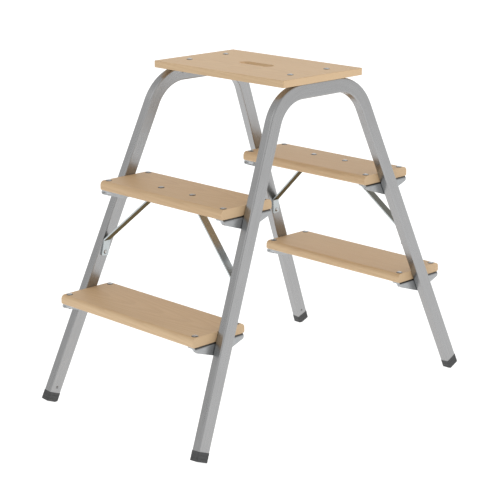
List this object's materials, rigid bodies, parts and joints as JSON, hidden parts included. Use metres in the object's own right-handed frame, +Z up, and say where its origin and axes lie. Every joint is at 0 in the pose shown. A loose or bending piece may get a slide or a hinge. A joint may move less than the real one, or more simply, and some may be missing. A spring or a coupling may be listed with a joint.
{
  "type": "step ladder",
  "caption": "Fixed double-sided step ladder: two bent rectangular tube frames with wooden steps and a wooden platform with a hand slot.",
  "frame": {"origin": "on the floor under the centre of the platform", "axes": "+X across the width, along the steps; +Y towards the rear steps; +Z up"},
  "size_m": [0.4898, 0.819, 0.7134],
  "materials": {
    "tube": "satin, fine lengthwise brushing",
    "wood": "pale hardwood, clear matt lacquer",
    "bracket": "zinc plated sheet",
    "brace": "light zinc plated flat bar",
    "foot": "moulded, fine grain",
    "fastener": "zinc plated"
  },
  "bodies": {
    "root": {"side_frame_left": "tube", "side_frame_right": "tube", "top_platform": "wood", "step_front_lower": "wood", "step_front_upper": "wood", "step_rear_upper": "wood", "step_rear_lower": "wood", "bracket_front_lower_left": "bracket", "bracket_front_lower_right": "bracket", "bracket_front_upper_left": "bracket", "bracket_front_upper_right": "bracket", "bracket_rear_upper_left": "bracket", "bracket_rear_upper_right": "bracket", "bracket_rear_lower_left": "bracket", "bracket_rear_lower_right": "bracket", "platform_bracket_left": "bracket", "platform_bracket_right": "bracket", "brace_front_left": "brace", "brace_front_right": "brace", "brace_rear_left": "brace", "brace_rear_right": "brace", "foot_front_left": "foot", "foot_front_right": "foot", "foot_rear_left": "foot", "foot_rear_right": "foot", "platform_bolts": "fastener", "platform_nuts": "fastener", "bolts_front_lower": "fastener", "bolts_front_upper": "fastener", "bolts_rear_upper": "fastener", "bolts_rear_lower": "fastener", "nuts_front_lower": "fastener", "nuts_front_upper": "fastener", "nuts_rear_upper": "fastener", "nuts_rear_lower": "fastener", "brace_bolts": "fastener", "brace_nuts": "fastener", "brace_rivets": "fastener", "bracket_rivets_left": "fastener", "bracket_rivets_right": "fastener", "foot_screws": "fastener"}
  },
  "joints": []
}
